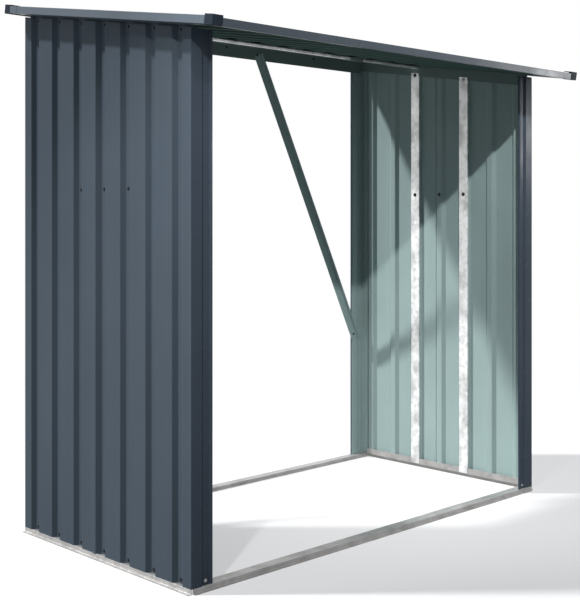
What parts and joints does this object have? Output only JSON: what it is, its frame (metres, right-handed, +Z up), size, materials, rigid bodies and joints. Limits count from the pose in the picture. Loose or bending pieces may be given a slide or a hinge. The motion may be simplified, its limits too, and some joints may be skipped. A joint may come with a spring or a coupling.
{
  "type": "log store",
  "caption": "Open-fronted sheet-metal log store: ribbed side walls, open rear with knee braces, and a lean-to roof falling to the front.",
  "frame": {"origin": "on the floor, at the centre of the whole footprint, roof overhangs included", "axes": "+X across the open front towards the right wall, +Y from the front to the rear, +Z up"},
  "size_m": [2.128, 1.2608, 2.0771],
  "materials": {
    "painted_sheet": "satin anthracite paint outside, grey-green inside, on ribbed steel sheet",
    "painted_trim": "satin anthracite paint on folded steel",
    "painted_frame": "satin dark green-grey paint on folded steel",
    "zinc": "hot-dip galvanised, faint spangle",
    "cap_plastic": "matte moulded"
  },
  "bodies": {
    "root": {"base_rail_left": "zinc", "base_rail_right": "zinc", "base_rail_front": "zinc", "base_rail_rear": "zinc", "left_wall_front_panel": "painted_sheet", "left_wall_rear_panel": "painted_sheet", "right_wall_front_panel": "painted_sheet", "right_wall_rear_panel": "painted_sheet", "front_post_left": "painted_trim", "front_post_right": "painted_trim", "rear_post_left": "painted_trim", "rear_post_right": "painted_trim", "left_wall_strap_front": "zinc", "left_wall_strap_rear": "zinc", "right_wall_strap_front": "zinc", "right_wall_strap_rear": "zinc", "left_top_rail": "painted_frame", "right_top_rail": "painted_frame", "rear_header": "painted_frame", "rear_brace_left": "painted_frame", "rear_brace_right": "painted_frame", "purlin": "zinc", "purlin_sleeve_left": "painted_frame", "purlin_sleeve_right": "painted_frame", "roof_sheet_1": "painted_sheet", "roof_sheet_2": "painted_sheet", "roof_sheet_3": "painted_sheet", "roof_sheet_4": "painted_sheet", "front_fascia": "painted_trim", "rear_fascia": "painted_trim", "verge_trim_left": "painted_trim", "verge_trim_right": "painted_trim", "corner_cap_front_left": "cap_plastic", "corner_cap_front_right": "cap_plastic", "corner_cap_rear_left": "cap_plastic", "corner_cap_rear_right": "cap_plastic"}
  },
  "joints": []
}
